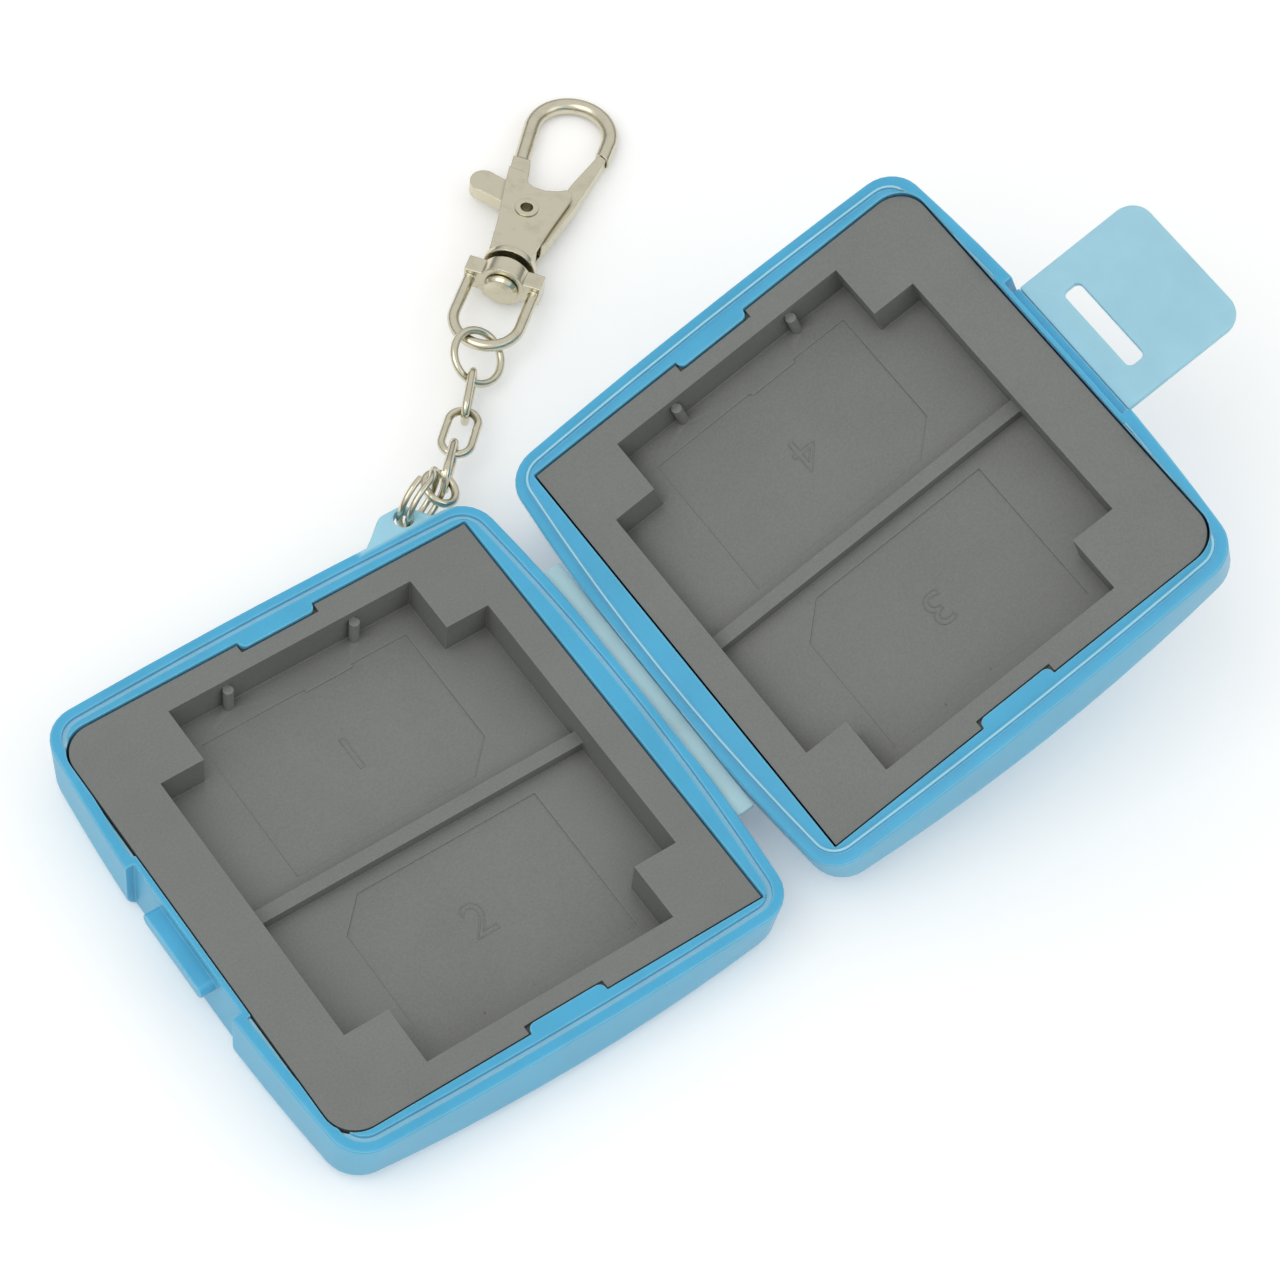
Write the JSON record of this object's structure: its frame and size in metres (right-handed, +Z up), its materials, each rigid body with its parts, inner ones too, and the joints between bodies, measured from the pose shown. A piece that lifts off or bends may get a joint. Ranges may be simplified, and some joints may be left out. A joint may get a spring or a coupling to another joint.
{
  "type": "memory card case",
  "caption": "Open blue plastic memory card case with grey card trays, a latch flap with a slot, and a short chain with a plated swivel clip.",
  "frame": {"origin": "middle of the base shell's flat back, on the surface it lies on", "axes": "+X from the base towards the lid, +Y along the hinge towards the chain, +Z up"},
  "size_m": [0.1593, 0.1322, 0.0434],
  "materials": {
    "blue_plastic": "satin",
    "pale_blue_plastic": "satin",
    "grey_plastic": "fine grain",
    "plated_metal": "polished"
  },
  "bodies": {
    "base": {"base_shell": "blue_plastic", "base_tray": "grey_plastic"},
    "strip": {"hinge_strip": "pale_blue_plastic"},
    "lid": {"lid_shell": "blue_plastic", "lid_tray": "grey_plastic"},
    "flap": {"latch_flap": "pale_blue_plastic"},
    "split_ring": {"lug_ring": "plated_metal"},
    "jump_ring": {"jump_ring": "plated_metal"},
    "link_1": {"chain_link_1": "plated_metal"},
    "link_2": {"chain_link_2": "plated_metal"},
    "link_3": {"chain_link_3": "plated_metal"},
    "round_ring": {"round_ring": "plated_metal"},
    "yoke": {"swivel_yoke": "plated_metal"},
    "clip": {"swivel_rivet": "plated_metal", "clip_body": "plated_metal", "clip_rivet": "plated_metal"},
    "lever": {"clip_lever": "plated_metal"}
  },
  "joints": [
    {"name": "strip_fold", "type": "hinge", "parent": "base", "child": "strip", "pos_m": [0.0354, 0, 0.00955], "axis": [0, -1, 0], "range_deg": [-11.1, 78.9]},
    {"name": "lid_fold", "type": "hinge", "parent": "strip", "child": "lid", "pos_m": [0.03795, 0, 0.01005], "axis": [0, -1, 0], "range_deg": [-11.1, 78.9]},
    {"name": "flap_fold", "type": "hinge", "parent": "lid", "child": "flap", "pos_m": [0.10408, 0.0005, 0.0359], "axis": [0, -1, 0], "range_deg": [0, 90]},
    {"name": "split_ring_turn", "type": "hinge", "parent": "base", "child": "split_ring", "pos_m": [0.024, 0.039, 0.01], "axis": [0, 0, 1], "range_deg": [-6, 45]},
    {"name": "jump_ring_turn", "type": "hinge", "parent": "split_ring", "child": "jump_ring", "pos_m": [0.03011, 0.0414, 0.00818], "axis": [0, 0, 1], "range_deg": [-4, 4]},
    {"name": "link_1_turn", "type": "hinge", "parent": "jump_ring", "child": "link_1", "pos_m": [0.03321, 0.04274, 0.00701], "axis": [0, 0, 1], "range_deg": [-5, 15]},
    {"name": "link_2_turn", "type": "hinge", "parent": "link_1", "child": "link_2", "pos_m": [0.03869, 0.0483, 0.00485], "axis": [0, 0, 1], "range_deg": [-6, 20]},
    {"name": "link_3_turn", "type": "hinge", "parent": "link_2", "child": "link_3", "pos_m": [0.04283, 0.05189, 0.00448], "axis": [0, 0, 1], "range_deg": [-6, 20]},
    {"name": "round_ring_turn", "type": "hinge", "parent": "link_3", "child": "round_ring", "pos_m": [0.04829, 0.05783, 0.00376], "axis": [0, 0, 1], "range_deg": [-5, 15]},
    {"name": "yoke_turn", "type": "hinge", "parent": "round_ring", "child": "yoke", "pos_m": [0.05107, 0.06112, 0.00519], "axis": [0, 0, 1], "range_deg": [-4, 3]},
    {"name": "clip_swivel", "type": "hinge", "parent": "yoke", "child": "clip", "pos_m": [0.05983, 0.06796, 0.00429], "axis": [0.7855, 0.6137, -0.0804], "continuous": true},
    {"name": "gate_turn", "type": "hinge", "parent": "clip", "child": "lever", "pos_m": [0.07039, 0.0771, 0.00317], "axis": [0.0633, 0.0495, 0.9968], "range_deg": [0, 22], "stiffness_Nm_per_rad": 0.012, "springref_deg": -20.05}
  ],
  "couplings": [
    {"joint": "lid_fold", "follows": "strip_fold", "ratio": 1}
  ]
}
